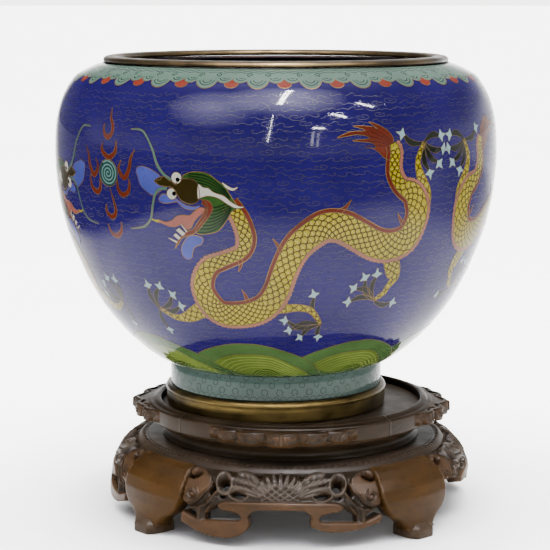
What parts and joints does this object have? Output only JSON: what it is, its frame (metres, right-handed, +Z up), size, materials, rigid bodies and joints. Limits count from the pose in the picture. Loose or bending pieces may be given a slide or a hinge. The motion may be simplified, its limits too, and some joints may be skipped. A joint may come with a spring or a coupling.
{
  "type": "cloisonne vase on stand",
  "caption": "Wide-mouthed enamelled copper vase with brass rim and foot ring, resting loose in the tray of a round carved wooden stand with scroll legs and pierced aprons.",
  "frame": {"origin": "floor level, on the vase's own axis; the stand's axis is 8.5 mm to +X of it", "axes": "+Z up along the vase's axis, -Y towards the viewer of the picture, +X to that viewer's right"},
  "size_m": [0.25, 0.25, 0.2575],
  "materials": {
    "copper_sheet": "dull copper, dark inside",
    "cobalt_enamel": "polished glass enamel",
    "turquoise_enamel": "polished glass enamel",
    "aged_brass": "satin, aged",
    "dark_hardwood": "dark stained, waxed",
    "worn_hardwood": "reddish brown, waxed"
  },
  "bodies": {
    "stand": {"tray_panel": "dark_hardwood", "tray_rail_front": "dark_hardwood", "tray_rail_right": "dark_hardwood", "tray_rail_back": "dark_hardwood", "tray_rail_left": "dark_hardwood", "waist_ring": "dark_hardwood", "shoulder_ring": "dark_hardwood", "leg_front_left": "worn_hardwood", "leg_front_right": "worn_hardwood", "leg_back_right": "worn_hardwood", "leg_back_left": "worn_hardwood", "apron_front": "dark_hardwood", "apron_right": "dark_hardwood", "apron_back": "dark_hardwood", "apron_left": "dark_hardwood"},
    "vase": {"copper_bowl": "copper_sheet", "enamel_coat": "cobalt_enamel", "rim_ring": "aged_brass", "foot_band": "turquoise_enamel", "foot_ring": "aged_brass", "base_enamel": "turquoise_enamel"}
  },
  "joints": [
    {"name": "vase_lift", "type": "slide", "parent": "stand", "child": "vase", "axis": [0, 0, 1], "range_m": [0, 0.12]}
  ]
}
